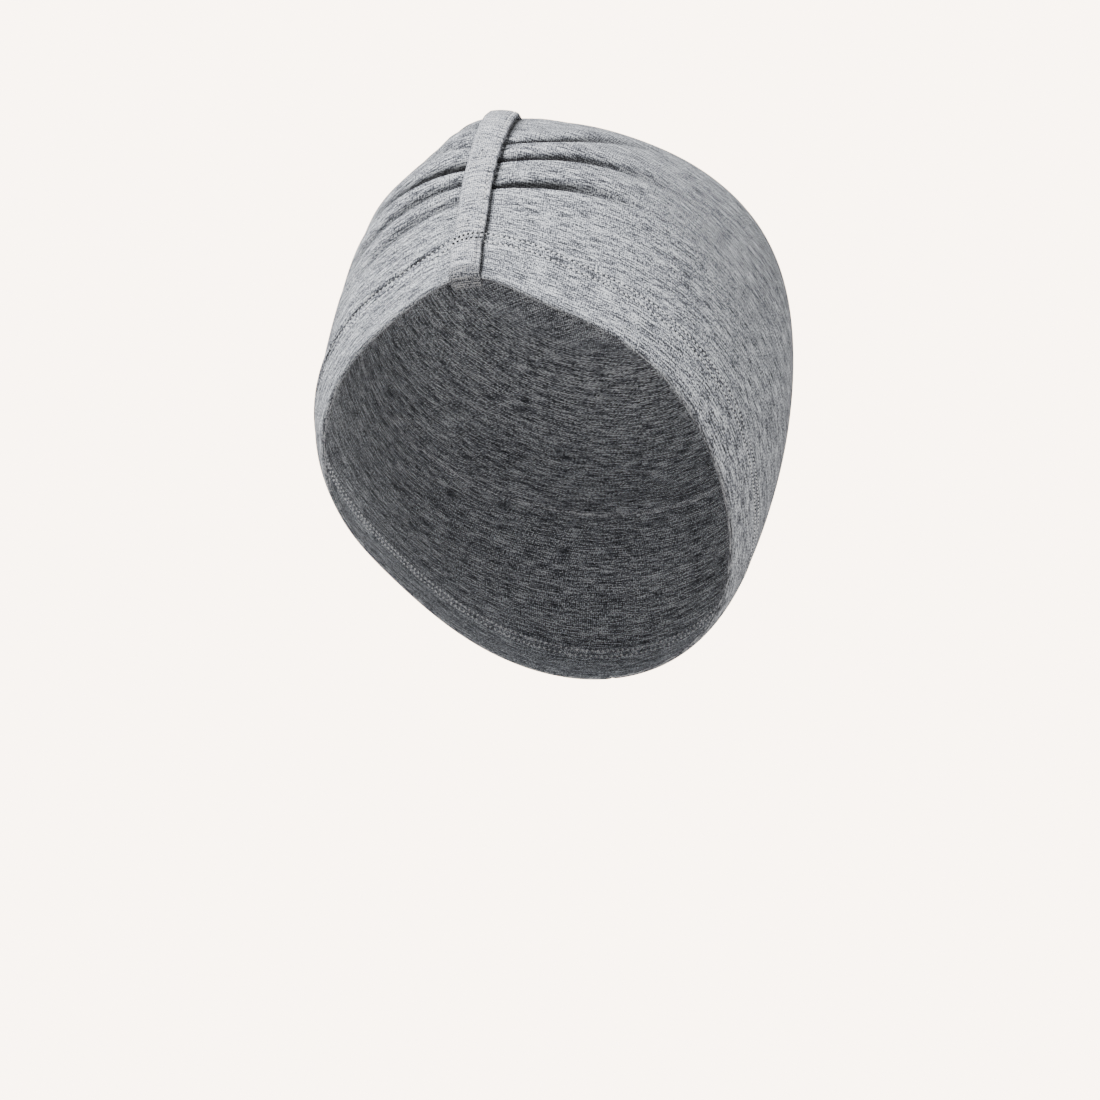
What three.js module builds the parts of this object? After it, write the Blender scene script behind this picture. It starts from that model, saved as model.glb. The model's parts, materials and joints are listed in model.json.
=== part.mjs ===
// A soft jersey sleep cap whose front is gathered by a narrow strap, in the form that a head gives it.
//
// Millimetres, +Z up, the wearer faces -Y. The origin is where the top of the head touches the inside
// of the crown. The cap is drawn over a dome: its axis leans back, and each section across that axis
// is a smooth closed outline. A place on the cloth is given by its bearing round the axis (0 at the
// front, positive towards +X), by its turn from the plane of the rim (0) up to the pole (90), both in
// degrees, and by how far inward of the outer face it lies.

import * as THREE from 'three';

// Cloth and clearances.
const JERSEY = 1.5; // thickness of the crown
const HEM_CLOTH = 1.2; // thickness of the edge that is turned up inside
const HEM_TURN = 7.8; // turn that the turned-up edge takes from the rim, about 19 mm
const GAP = 0.3; // clearance between separate pieces

// The dome that the cap is drawn over.
const DOME_TILT = 34; // lean of the dome's axis behind the vertical, degrees
const DOME_RISE = 143; // height of the dome's pole above the plane of the rim
const POLE_SETBACK = 7; // how far the pole lies behind the axis

// How far the cloth reaches from the axis, a row for each section. A section at a given turn is these
// reaches times the cosine of its turn, so a ball would have one number throughout.
const SECTIONS = [
  { turn: 0, front: 75, temple: 69, side: 69, behind: 77, back: 96 },
  { turn: 15, front: 81, temple: 80, side: 79, behind: 92, back: 107 },
  { turn: 30, front: 99, temple: 91, side: 88, behind: 101, back: 106 },
  { turn: 50, front: 112, temple: 107, side: 112, behind: 115, back: 123 },
  { turn: 70, front: 116, temple: 128, side: 128, behind: 128, back: 131 },
  { turn: 90, front: 140, temple: 140, side: 140, behind: 140, back: 140 },
];
const FACINGS = { front: 0, temple: 45, side: 90, behind: 135, back: 180 }; // bearing of each column

// The rim's height above its plane: higher at front and back, with a peak where the strap lifts it.
const RIM_LIFT = 3; // mean height
const RIM_WAVE = 3.4; // amplitude of two waves in a turn
const RIM_RIPPLE = -1.4; // amplitude of four waves in a turn
const RIM_PEAK = 13; // height of the peak at the front
const RIM_PEAK_SPREAD = 18; // bearing at which the peak has mostly faded

// The strap: a flat folded band from inside the hem, round under the rim and up over the front.
const STRAP_WIDTH = 10.5;
const STRAP_THICKNESS = 2;
const STRAP_REACH = 92; // length outside, from the rim to its stitched end
const STRAP_TAIL = 20; // length inside, from the rim
const STRAP_STEP = 3; // spacing of its sections
const STRAP_BEND = 1.15; // radius of its middle where it bends under the rim
const STRAP_BEND_STEPS = 4; // steps round each of its two bends
const STRAP_CORNER = 0.6; // rounding of its long edges

// The gathers, a row for each fold: the side of the strap that it lies on, how far up the strap from
// the rim it starts and ends, how far out it fades away, and the depth and half width of its valley.
const FOLDS = [
  { side: 1, start: 35.5, end: 39.5, reach: 50, depth: 1.5, width: 2.6 },
  { side: 1, start: 46.5, end: 59.5, reach: 54, depth: 3.2, width: 2.8 },
  { side: 1, start: 55.5, end: 86.5, reach: 46, depth: 2.6, width: 2.8 },
  { side: 1, start: 67.5, end: 104.5, reach: 42, depth: 2.8, width: 3.2 },
  { side: 1, start: 82.5, end: 116.5, reach: 38, depth: 2, width: 3.4 },
  { side: -1, start: 32.5, end: 22.5, reach: 46, depth: 2.2, width: 2.8 },
  { side: -1, start: 40.5, end: 35.5, reach: 50, depth: 2.4, width: 2.4 },
  { side: -1, start: 47.5, end: 48.5, reach: 46, depth: 3.2, width: 2.6 },
  { side: -1, start: 56.5, end: 70.5, reach: 36, depth: 2, width: 2.8 },
  { side: -1, start: 68.5, end: 100.5, reach: 40, depth: 2.4, width: 3.2 },
  { side: -1, start: 83.5, end: 116.5, reach: 38, depth: 2, width: 3.4 },
];
const FOLDS_BEGIN = { from: 6, to: 9 }; // distance from the midline over which the folds appear
const FOLD_WIDENING = 0.8; // growth of a fold's width by its far end, as a share of its width
const FOLD_BEND = 1.6; // above 1, a fold starts square to the strap and turns further out

// Fineness of the meshes.
const COLUMNS = 56; // steps round the cap
const FRONT_CROWDING = 0.5; // spacing of the steps at the front, against even ones
const HEM_ROWS = 3;
const CROWN_BANDS = [
  { upTo: HEM_TURN, rows: HEM_ROWS },
  { upTo: 13, rows: 2 },
  { upTo: 51, rows: 27 },
  { upTo: 90, rows: 9 },
];

const JERSEY_GREY = '#a6a7ab';
const STRAP_GREY = '#b0b1b5';

const radians = THREE.MathUtils.degToRad;
const { smoothstep, lerp } = THREE.MathUtils;

// Smooth blend of the values held at some stations, by Lagrange's formula.
function blend(stations, values, at) {
  let sum = 0;
  for (let i = 0; i < stations.length; i += 1) {
    let weight = 1;
    for (let j = 0; j < stations.length; j += 1) {
      if (j !== i) weight *= (at - stations[j]) / (stations[i] - stations[j]);
    }
    sum += weight * values[i];
  }
  return sum;
}

const FACING_NAMES = Object.keys(FACINGS);
const FACING_STATIONS = FACING_NAMES.map((name) => Math.cos(radians(FACINGS[name])));
const TURN_STATIONS = SECTIONS.map((section) => section.turn);

// Distance from the dome's axis to the cloth, before the cosine of the turn.
function reach(bearing, turn) {
  const facing = Math.cos(radians(bearing));
  const rows = SECTIONS.map((section) => {
    const reaches = FACING_NAMES.map((name) => section[name]);
    return blend(FACING_STATIONS, reaches, facing);
  });
  return blend(TURN_STATIONS, rows, turn);
}

// Point of the plain dome, measured from where its axis meets the plane of the rim.
function domePoint(bearing, turn, inward) {
  const wide = (reach(bearing, turn) - inward) * Math.cos(radians(turn));
  const setback = POLE_SETBACK * Math.sin(radians(turn)) ** 2;
  const across = wide * Math.sin(radians(bearing));
  const ahead = wide * Math.cos(radians(bearing)) - setback;
  const rise = (DOME_RISE - inward) * Math.sin(radians(turn));
  const point = new THREE.Vector3(across, -ahead, rise);
  return point.applyAxisAngle(new THREE.Vector3(1, 0, 0), -radians(DOME_TILT));
}

// Turn at which the rim lies, at a given bearing.
function rimTurn(bearing) {
  const angle = radians(bearing);
  const peak = RIM_PEAK * Math.exp(-((bearing / RIM_PEAK_SPREAD) ** 2));
  const waves = RIM_WAVE * Math.cos(2 * angle) + RIM_RIPPLE * Math.cos(4 * angle);
  return THREE.MathUtils.radToDeg((RIM_LIFT + waves + peak) / DOME_RISE);
}

// Length of the front midline from turn 0 up to each whole degree of turn.
const MIDLINE = [0];
for (let turn = 1; turn <= 90; turn += 1) {
  const step = domePoint(0, turn, 0).distanceTo(domePoint(0, turn - 1, 0));
  MIDLINE.push(MIDLINE[turn - 1] + step);
}

function midlineLength(turn) {
  const below = Math.min(Math.max(Math.floor(turn), 0), 89);
  return lerp(MIDLINE[below], MIDLINE[below + 1], turn - below);
}

// How far up the strap from the rim a turn lies, and the turn that lies a given way up.
function climbAt(turn) {
  return midlineLength(turn) - midlineLength(rimTurn(0));
}

function turnAt(climb) {
  const length = climb + midlineLength(rimTurn(0));
  const above = Math.max(MIDLINE.findIndex((value) => value > length), 1);
  const step = MIDLINE[above] - MIDLINE[above - 1];
  return above - 1 + (length - MIDLINE[above - 1]) / step;
}

// Height of the gathers over the plain dome: each fold is a valley with a ridge on either side.
function gather(bearing, turn) {
  if (Math.abs(bearing) >= FACINGS.side) return 0;
  const side = Math.sign(bearing);
  const out = Math.abs(domePoint(bearing, turn, 0).x);
  const climb = climbAt(turn);
  let height = 0;
  for (const fold of FOLDS) {
    if (fold.side === side && out < fold.reach) {
      const far = out / fold.reach;
      const centre = lerp(fold.start, fold.end, far ** FOLD_BEND);
      const off = ((climb - centre) / (fold.width * (1 + FOLD_WIDENING * far))) ** 2;
      height -= fold.depth * (1 - far) * (1 - 2 * off) * Math.exp(-off);
    }
  }
  return height * smoothstep(out, FOLDS_BEGIN.from, FOLDS_BEGIN.to);
}

// The origin: the highest point of the crown's inner face on the midline.
let seat = domePoint(0, 0, JERSEY);
for (let turn = 0; turn <= 90; turn += 0.25) {
  const point = domePoint(0, turn, JERSEY);
  if (point.z > seat.z) seat = point;
}

// Point of the cap. The gathers lift the cloth through its whole thickness.
function capPoint(bearing, turn, inward, gathered = true) {
  const lift = gathered ? gather(bearing, turn) : 0;
  return domePoint(bearing, turn, inward - lift).sub(seat);
}

// Closed body through a run of rings of points. Its ends are fanned shut, or it closes on itself.
function bodyThrough(rings, endless = false) {
  const count = rings[0].length;
  const points = rings.flat();
  const faces = [];
  const joins = endless ? rings.length : rings.length - 1;
  for (let r = 0; r < joins; r += 1) {
    const here = r * count;
    const next = ((r + 1) % rings.length) * count;
    for (let i = 0; i < count; i += 1) {
      const j = (i + 1) % count;
      faces.push([here + i, next + i, next + j], [here + i, next + j, here + j]);
    }
  }
  if (!endless) {
    for (const [ring, base] of [[rings[0], 0], [rings.at(-1), (rings.length - 1) * count]]) {
      const middle = points.length;
      const sum = ring.reduce((total, point) => total.add(point), new THREE.Vector3());
      points.push(sum.divideScalar(count));
      for (let i = 0; i < count; i += 1) {
        const j = (i + 1) % count;
        faces.push(base === 0 ? [middle, base + i, base + j] : [middle, base + j, base + i]);
      }
    }
  }
  let volume = 0;
  for (const [a, b, c] of faces) {
    volume += points[a].dot(new THREE.Vector3().crossVectors(points[b], points[c]));
  }
  const outward = volume > 0 ? faces : faces.map(([a, b, c]) => [a, c, b]);
  const geometry = new THREE.BufferGeometry().setFromPoints(points);
  geometry.setIndex(outward.flat());
  geometry.computeVertexNormals();
  return geometry;
}

// Bearings of the columns, closer together at the front where the folds are.
const BEARINGS = [];
for (let i = 0; i < COLUMNS; i += 1) {
  const share = (2 * i) / COLUMNS - 1;
  const eased = FRONT_CROWDING * Math.abs(share) + (1 - FRONT_CROWDING) * share ** 2;
  BEARINGS.push(180 * Math.sign(share) * eased);
}

// Shares of the way from the rim to the pole at which the cloth has rows, without the pole.
const ROWS = [];
let bandStart = 0;
for (const band of CROWN_BANDS) {
  for (let row = 0; row < band.rows; row += 1) {
    ROWS.push(lerp(bandStart, band.upTo, row / band.rows) / 90);
  }
  bandStart = band.upTo;
}

// Ring of points round the cap.
function ringAt(share, inward) {
  return BEARINGS.map((bearing) => {
    const turn = lerp(rimTurn(bearing), 90, share);
    return capPoint(bearing, turn, inward);
  });
}

// The crown: one ply of jersey from the rim to the pole, open below.
function crownGeometry() {
  const outer = ROWS.map((share) => ringAt(share, 0)).reverse();
  const inner = ROWS.map((share) => ringAt(share, JERSEY));
  return bodyThrough([...outer, ...inner]);
}

// The hem: the edge turned up inside the crown, all the way round.
function hemGeometry() {
  const outerFace = JERSEY + GAP;
  const rows = ROWS.slice(0, HEM_ROWS + 1);
  const outer = rows.map((share) => ringAt(share, outerFace));
  const inner = rows.map((share) => ringAt(share, outerFace + HEM_CLOTH)).reverse();
  return bodyThrough([...outer, ...inner], true);
}

// The strap's route along the midline, as climb from the rim and inward distance of its middle.
function strapRoute() {
  const outside = -GAP - STRAP_THICKNESS / 2;
  const inside = JERSEY + GAP + HEM_CLOTH + GAP + STRAP_THICKNESS / 2;
  const route = [];
  for (let climb = STRAP_TAIL; climb > 0; climb -= STRAP_STEP) {
    route.push({ climb, inward: inside, lean: 0 });
  }
  const low = GAP + STRAP_THICKNESS / 2;
  const bends = [
    { centre: inside - STRAP_BEND, from: 0 },
    { centre: outside + STRAP_BEND, from: 90 },
  ];
  for (const { centre, from } of bends) {
    for (let step = 0; step <= STRAP_BEND_STEPS; step += 1) {
      const lean = radians(from + (90 * step) / STRAP_BEND_STEPS);
      const climb = STRAP_BEND - low - STRAP_BEND * Math.sin(lean);
      route.push({ climb, inward: centre + STRAP_BEND * Math.cos(lean), lean });
    }
  }
  for (let climb = STRAP_STEP; climb < STRAP_REACH; climb += STRAP_STEP) {
    route.push({ climb, inward: outside, lean: Math.PI });
  }
  route.push({ climb: STRAP_REACH, inward: outside, lean: Math.PI });
  return route;
}

// The front strap: its flat section, with rounded long edges, carried along the route.
function strapGeometry() {
  const half = STRAP_WIDTH / 2;
  const thick = STRAP_THICKNESS / 2;
  const corner = STRAP_CORNER;
  const section = [
    { across: half - corner, out: thick },
    { across: 0, out: thick },
    { across: corner - half, out: thick },
    { across: -half, out: thick - corner },
    { across: -half, out: corner - thick },
    { across: corner - half, out: -thick },
    { across: 0, out: -thick },
    { across: half - corner, out: -thick },
    { across: half, out: corner - thick },
    { across: half, out: thick - corner },
  ];
  const rings = strapRoute().map(({ climb, inward, lean }) => section.map(({ across, out }) => {
    const place = climb - out * Math.sin(lean);
    const deep = inward + out * Math.cos(lean);
    const frontReach = reach(0, turnAt(place)) * Math.cos(radians(turnAt(place)));
    const bearing = THREE.MathUtils.radToDeg(across / frontReach);
    const turn = turnAt(place) + rimTurn(bearing) - rimTurn(0);
    return capPoint(bearing, turn, deep, false);
  }));
  return bodyThrough(rings);
}

function piece(name, geometry, color) {
  const material = new THREE.MeshStandardMaterial({ color, roughness: 0.95, metalness: 0 });
  const mesh = new THREE.Mesh(geometry, material);
  mesh.name = name;
  return mesh;
}

const cap = new THREE.Group();
cap.name = 'sleep_cap';
cap.add(piece('crown', crownGeometry(), JERSEY_GREY));
cap.add(piece('hem', hemGeometry(), JERSEY_GREY));
cap.add(piece('front_strap', strapGeometry(), STRAP_GREY));

export default cap;
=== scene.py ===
"""A soft grey jersey sleep cap whose front is gathered by a narrow strap, in the form that a head gives it.

The cap is one tube of jersey drawn over a dome. A place on the cloth is given by its bearing round the
dome's axis (0 at the front, positive towards +X), its turn up from the plane of the rim (0) to the pole
(a quarter turn), and how far inward of the outer face it lies. Everything is in metres, +Z up, with the
wearer facing -Y and the origin where the top of the head touches the inside of the crown.
"""

import json
import math

import bpy
import numpy as np
from mathutils import Matrix, Vector

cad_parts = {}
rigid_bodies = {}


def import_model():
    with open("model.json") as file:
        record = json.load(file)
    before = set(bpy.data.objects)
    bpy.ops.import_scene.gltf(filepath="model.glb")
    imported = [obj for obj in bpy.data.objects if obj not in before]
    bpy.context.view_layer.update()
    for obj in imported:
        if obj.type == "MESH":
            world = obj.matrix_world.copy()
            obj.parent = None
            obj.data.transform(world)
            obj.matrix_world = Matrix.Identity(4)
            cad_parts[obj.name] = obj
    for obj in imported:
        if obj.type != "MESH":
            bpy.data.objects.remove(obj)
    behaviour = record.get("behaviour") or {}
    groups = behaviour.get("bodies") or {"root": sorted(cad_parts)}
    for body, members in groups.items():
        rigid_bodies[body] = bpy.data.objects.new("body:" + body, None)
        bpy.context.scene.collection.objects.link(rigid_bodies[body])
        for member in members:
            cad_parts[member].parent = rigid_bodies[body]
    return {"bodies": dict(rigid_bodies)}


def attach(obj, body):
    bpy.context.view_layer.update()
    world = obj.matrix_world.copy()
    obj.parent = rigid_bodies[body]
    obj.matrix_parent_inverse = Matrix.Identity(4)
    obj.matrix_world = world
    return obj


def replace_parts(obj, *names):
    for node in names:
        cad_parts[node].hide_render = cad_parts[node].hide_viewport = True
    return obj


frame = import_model()

bl_info = {
    "name": "Gathered Sleep Cap",
    "version": (1, 0, 0),
    "blender": (4, 5, 0),
    "location": "3D View > Sidebar > Sleep Cap",
    "description": "Builds a gathered jersey sleep cap with its stitching, cloth finishes and studio",
    "category": "Add Mesh",
}

MM = 0.001
DEGREE = math.pi / 180
BODY = next(iter(frame["bodies"]))
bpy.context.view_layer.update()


# ---------------------------------------------------------------------------------------------
# Sizes and colours that a user would change
# ---------------------------------------------------------------------------------------------

def length(name, default, description):
    """A length property, in metres."""
    return bpy.props.FloatProperty(name=name, default=default, description=description, unit="LENGTH",
                                   min=0.0, soft_max=1.0, precision=5)


def colour(name, default, description):
    """A colour property, in linear values."""
    return bpy.props.FloatVectorProperty(name=name, default=default, description=description,
                                         subtype="COLOR", size=3, min=0.0, max=1.0)


def factor(name, default, description):
    """A property that multiplies."""
    return bpy.props.FloatProperty(name=name, default=default, description=description, subtype="FACTOR",
                                   min=0.0, max=2.0)


class SleepCapSizes(bpy.types.PropertyGroup):
    """Sizes of the cap's cloth, strap and stitches."""

    ply: length("Ply", 0.7 * MM, "Thickness of one ply of jersey")
    rim_roll: length("Rim roll", 0.8 * MM, "Radius with which the crown's cloth rolls under the rim")
    hem_depth: length("Hem depth", 21.8 * MM, "Height of the edge that is turned up inside")
    upper_row: length("Upper row", 19.8 * MM, "Height of the upper row of hem stitches over the rim")
    lower_row: length("Lower row", 16.7 * MM, "Height of the lower row of hem stitches over the rim")
    stitch_pitch: length("Stitch pitch", 1.9 * MM, "Distance from one stitch to the next")
    cross_pitch: length("Cross row pitch", 1.4 * MM, "Distance from one stitch to the next in the cross rows")
    stitch_share: factor("Stitch share", 0.52, "Share of the pitch that shows as thread")
    # The holes of the cross rows and of the hem are near-black beads, painted shade in the needle holes.
    slit_share: factor("Slit share", 0.72, "Share of the pitch that the cross rows' holes are drawn out to")
    thread: length("Thread", 0.33 * MM, "Radius of the thread")
    hole_radius: length("Needle hole radius", 0.36 * MM, "Radius of the hole between two stitches")
    strap_width: length("Strap width", 10.5 * MM, "Width of the folded strap")
    strap_thickness: length("Strap thickness", 2.0 * MM, "Thickness of the folded strap")
    strap_gap: length("Strap gap", 0.3 * MM, "Clearance between the strap and the cloth that it crosses")
    strap_margin: length("Strap margin", 1.4 * MM, "Distance of the topstitching from the strap's edge")


class SleepCapFinishes(bpy.types.PropertyGroup):
    """Colours of the cloth, the thread and the studio."""

    light_yarn: colour("Light yarn", (0.84, 0.87, 0.95), "Lightest fibres of the heather jersey")
    grey_yarn: colour("Grey yarn", (0.312, 0.326, 0.368), "Main tone of the heather jersey")
    dark_yarn: colour("Dark yarn", (0.055, 0.058, 0.066), "Darkest fibres of the heather jersey")
    thread: colour("Thread", (0.93, 0.94, 0.96), "Sewing thread")
    strap_lightness: factor("Strap lightness", 1.42, "How much lighter the strap is than the crown")
    floor: colour("Floor", (0.86, 0.83, 0.80), "Studio floor")
    background: colour("Background", (1.0, 0.83, 0.68), "Studio background")


# ---------------------------------------------------------------------------------------------
# Smooth steps and bells
# ---------------------------------------------------------------------------------------------

def smooth_step(at, low, high):
    """0 below low, 1 above high, smooth between."""
    share = np.clip((at - low) / (high - low), 0, 1)
    return share * share * (3 - 2 * share)


def smooth_band(at, low, full, fading, high):
    """0 below low, 1 from full to fading, 0 above high, smooth between."""
    return smooth_step(at, low, full) * (1 - smooth_step(at, fading, high))


def bell(at, spread):
    """1 at 0, falling smoothly towards 0 on either side of it."""
    return np.exp(-(at / spread) ** 2)


# ---------------------------------------------------------------------------------------------
# The dome that the cap is drawn over
# ---------------------------------------------------------------------------------------------

# The dome's axis leans back by its tilt, and the pole lies at its rise up the axis and its setback
# behind it.
DOME_TILT = 34 * DEGREE
DOME_RISE = 143 * MM
POLE_SETBACK = 7 * MM
POLE_TURN = 90 * DEGREE

# Reach of the cloth from the dome's axis, in millimetres before the cosine of the turn. The columns
# are the turn in degrees, then the reach at the front, temple, side, behind the ear and the back.
SECTIONS = np.array([
    # turn  front temple side behind back
    (0, 75, 69, 69, 77, 96),
    (15, 81, 80, 79, 92, 107),
    (30, 99, 91, 88, 101, 106),
    (50, 112, 107, 112, 115, 123),
    (70, 116, 128, 128, 128, 131),
    (90, 140, 140, 140, 140, 140),
], float)
SECTION_TURNS = SECTIONS[:, 0] * DEGREE
SECTION_REACHES = SECTIONS[:, 1:] * MM
FACINGS = np.cos(np.array([0, 45, 90, 135, 180]) * DEGREE)

# The rim's height above its plane: its mean, two waves, a ripple of four, and the peak at the front.
RIM_LIFT = 3 * MM
RIM_WAVE = 3.4 * MM
RIM_RIPPLE = -1.4 * MM
RIM_PEAK = 13 * MM
RIM_PEAK_SPREAD = 18 * DEGREE

# The little more that the strap lifts the rim where it passes under it.
RIM_NOTCH = 1.5 * MM
RIM_NOTCH_SPREAD = 2.6 * DEGREE


def blend_weights(stations, at):
    """Lagrange weights of the stations at each place, along a new last axis."""
    at = np.asarray(at, float)
    weights = []
    for i, station in enumerate(stations):
        weight = np.ones_like(at)
        for j, other in enumerate(stations):
            if j != i:
                weight = weight * (at - other) / (station - other)
        weights.append(weight)
    return np.stack(weights, -1)


def reach(bearing, turn):
    """Distance from the dome's axis to the cloth, before the cosine of the turn."""
    rows = blend_weights(SECTION_TURNS, turn) @ SECTION_REACHES
    return (rows * blend_weights(FACINGS, np.cos(bearing))).sum(-1)


def dome_point(bearing, turn, inward=0.0):
    """Points of the plain dome, measured from where its axis meets the plane of the rim."""
    bearing, turn, inward = np.broadcast_arrays(bearing, turn, inward)
    wide = (reach(bearing, turn) - inward) * np.cos(turn)
    ahead = wide * np.cos(bearing) - POLE_SETBACK * np.sin(turn) ** 2
    rise = (DOME_RISE - inward) * np.sin(turn)
    return np.stack([
        wide * np.sin(bearing),
        rise * math.sin(DOME_TILT) - ahead * math.cos(DOME_TILT),
        rise * math.cos(DOME_TILT) + ahead * math.sin(DOME_TILT),
    ], -1)


def even_rim_turn(bearing):
    """Turn at which the rim would lie without its notch, at each bearing."""
    height = RIM_LIFT + RIM_WAVE * np.cos(2 * bearing) + RIM_RIPPLE * np.cos(4 * bearing)
    height = height + RIM_PEAK * bell(bearing, RIM_PEAK_SPREAD)
    return height / DOME_RISE


def rim_turn(bearing):
    """Turn at which the rim lies, at each bearing."""
    return even_rim_turn(bearing) + RIM_NOTCH * bell(bearing, RIM_NOTCH_SPREAD) / DOME_RISE


# The front midline: its length from turn 0 up to each of many turns, and where the rim crosses it.
MIDLINE_TURNS = np.linspace(0, POLE_TURN, 721)
MIDLINE_STEPS = np.linalg.norm(np.diff(dome_point(0.0, MIDLINE_TURNS), axis=0), axis=1)
MIDLINE_LENGTHS = np.concatenate([[0.0], np.cumsum(MIDLINE_STEPS)])
RIM_FRONT = float(even_rim_turn(np.float64(0.0)))
RIM_FRONT_LENGTH = float(np.interp(RIM_FRONT, MIDLINE_TURNS, MIDLINE_LENGTHS))

# The seat of the head, which is the origin: the highest point of the CAD crown's inner face.
CAD_WALL = 1.5 * MM
INNER_MIDLINE = dome_point(0.0, MIDLINE_TURNS, CAD_WALL)
SEAT = INNER_MIDLINE[INNER_MIDLINE[:, 2].argmax()]

# The width of turn over which the slope of the cloth at the rim is measured.
SLOPE_SAMPLE = 6 * DEGREE


def climb_at(turn):
    """How far up the strap from the rim a turn lies."""
    return np.interp(turn, MIDLINE_TURNS, MIDLINE_LENGTHS) - RIM_FRONT_LENGTH


def turn_at(climb):
    """The turn that lies a given way up the strap."""
    return np.interp(climb + RIM_FRONT_LENGTH, MIDLINE_LENGTHS, MIDLINE_TURNS)


def turn_over_rim(bearing, height):
    """The turn that lies a given height of cloth over the rim."""
    rim = rim_turn(bearing)
    rise = dome_point(bearing, rim + SLOPE_SAMPLE) - dome_point(bearing, rim)
    return rim + height * SLOPE_SAMPLE / np.linalg.norm(rise, axis=-1)


# ---------------------------------------------------------------------------------------------
# The relief of the cloth over the plain dome
# ---------------------------------------------------------------------------------------------

# The gathers, a row for each fold, in millimetres: the side of the strap, how far up the strap the
# fold starts and ends, how sharply its line bends, how far out it fades away, the depth and width of
# its groove, how many times wider it grows, and how dark the painted shade above its lip is.
FOLDS = (
    # side start end bend reach depth width widening shade
    (1, 37.0, 42.2, 1.35, 60, 1.7, 1.15, 1.2, 1.0),
    (1, 49.0, 64.5, 1.35, 66, 2.6, 1.4, 1.2, 1.0),
    (1, 58.6, 103.0, 2.2, 56, 1.9, 0.95, 3.2, 1.0),
    (1, 82.5, 113.0, 1.35, 40, 0.5, 2.2, 1.0, 0.1),
    (1, 54.4, 56.0, 1.0, 10, 1.8, 0.6, 0.5, 1.0),
    (1, 45.6, 45.4, 1.0, 10, 1.8, 0.6, 0.5, 1.0),
    (1, 42.0, 41.7, 1.0, 9, 1.5, 0.6, 0.5, 1.0),
    (-1, 33.2, 19.6, 1.35, 62, 1.2, 1.3, 1.3, 0.65),
    (-1, 40.8, 33.0, 1.35, 70, 2.0, 1.5, 1.2, 0.8),
    (-1, 48.0, 52.6, 1.35, 70, 3.0, 2.1, 0.5, 1.0),
    (-1, 56.2, 68.8, 1.35, 40, 1.0, 1.2, 1.0, 0.35),
    (-1, 68.5, 97.0, 1.35, 44, 0.5, 2.0, 1.0, 0.25),
)
# The share of its reach over which a fold keeps its whole depth, before it starts to fade away.
FOLD_HOLD = 0.4

# A groove is steep up to the lip below it and opens more gently above it, and the cloth swells
# between grooves. The spreads and places are in widths of the groove, the share is of its depth.
LIP_SPREAD = 0.5
FLANK_SPREAD = 1.9
SWELL_SHARE = 0.2
SWELL_PLACE = 3.5
SWELL_SPREAD = 1.6
# The span above the lip, in widths of the groove, over which a fold's painted shade darkens the cloth.
SHADE_SPAN = (-0.5, 0.1, 1.2, 2.5)

# How far from the strap's middle the grooves and the swells between them come in.
VALLEY_BEGINS = (2.5 * MM, 5.0 * MM)
RIDGE_BEGINS = (4.8 * MM, 9.0 * MM)

# The painted shade right beside the strap: how dark it is on the wearer's left and right, where it
# lies, how far it spreads low down, how much farther on the wearer's left near the top, where the strap
# stands off the crown, and between which heights it widens.
BESIDE_SHADES = (0.8, 0.3)
BESIDE_PLACE = 5.5 * MM
BESIDE_SPREAD = 0.8 * MM
BESIDE_TOP = 1.5 * MM
BESIDE_WIDENS = (60 * MM, 72 * MM)

# How the crown stands over the plain dome near the top, in millimetres: how far to the wearer's
# left of the strap's middle (negative to the right), and how much higher the cloth stands there.
# The span is the stretch up the strap over which it does.
TOP_PLACES = (-50.0, -38.0, -31.0, -24.0, -19.0, -14.0, -9.0, -5.0, 0.0, 5.0, 10.0, 19.0, 32.0, 70.0)
TOP_LIFTS = (0.0, -1.1, -1.4, -0.5, 1.1, 2.1, 2.3, 1.2, 0.5, 0.0, -0.4, -1.0, -0.8, 0.0)
TOP_SPAN = (45 * MM, 75 * MM, 105 * MM, 140 * MM)

# How the strap wanders, in millimetres: how far up it, and how far its middle lies to the wearer's
# left of the midline there.
STRAP_CLIMBS = (0.0, 8.0, 12.5, 15.5, 24.0, 35.0, 52.0, 63.0, 72.0, 87.0)
STRAP_OFFSETS = (0.2, -0.1, -0.5, -0.1, 0.3, 0.45, 1.15, 1.4, 0.85, -0.6)

# How far up the strap reaches.
STRAP_REACH = 87 * MM

# Small puckers between the folds, right beside the strap: how far apart they lie, how high they are,
# how far out they reach and how fast they fade on the way, how far those on one side are shifted
# against those on the other, in radians, and over which stretch up the strap they lie.
PUCKER_PITCH = 4.6 * MM
PUCKER_HEIGHT = 0.35 * MM
PUCKER_REACH = 16 * MM
PUCKER_FALL = 1.5
PUCKER_SHIFT = 2
PUCKER_SPAN = (26 * MM, 34 * MM, 95 * MM, 105 * MM)

# How the crown rises to meet the strap's underside: all along it, coming in over the lowest stretch,
# and more over a stretch below the strap's upper end, a little to the wearer's right of its middle.
RIDGE_HEIGHT = 0.15 * MM
RIDGE_SPREAD = 2.8 * MM
RIDGE_STARTS = (6 * MM, 20 * MM)
RIDGE_TOP = 0.32 * MM
RIDGE_TOP_PLACE = -2.3 * MM
RIDGE_TOP_SPAN = (46 * MM, 54 * MM, 66 * MM, 76 * MM)


def strap_offset(climb):
    """How far the strap's middle lies to the wearer's left of the midline."""
    return np.interp(climb / MM, STRAP_CLIMBS, STRAP_OFFSETS) * MM


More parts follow.
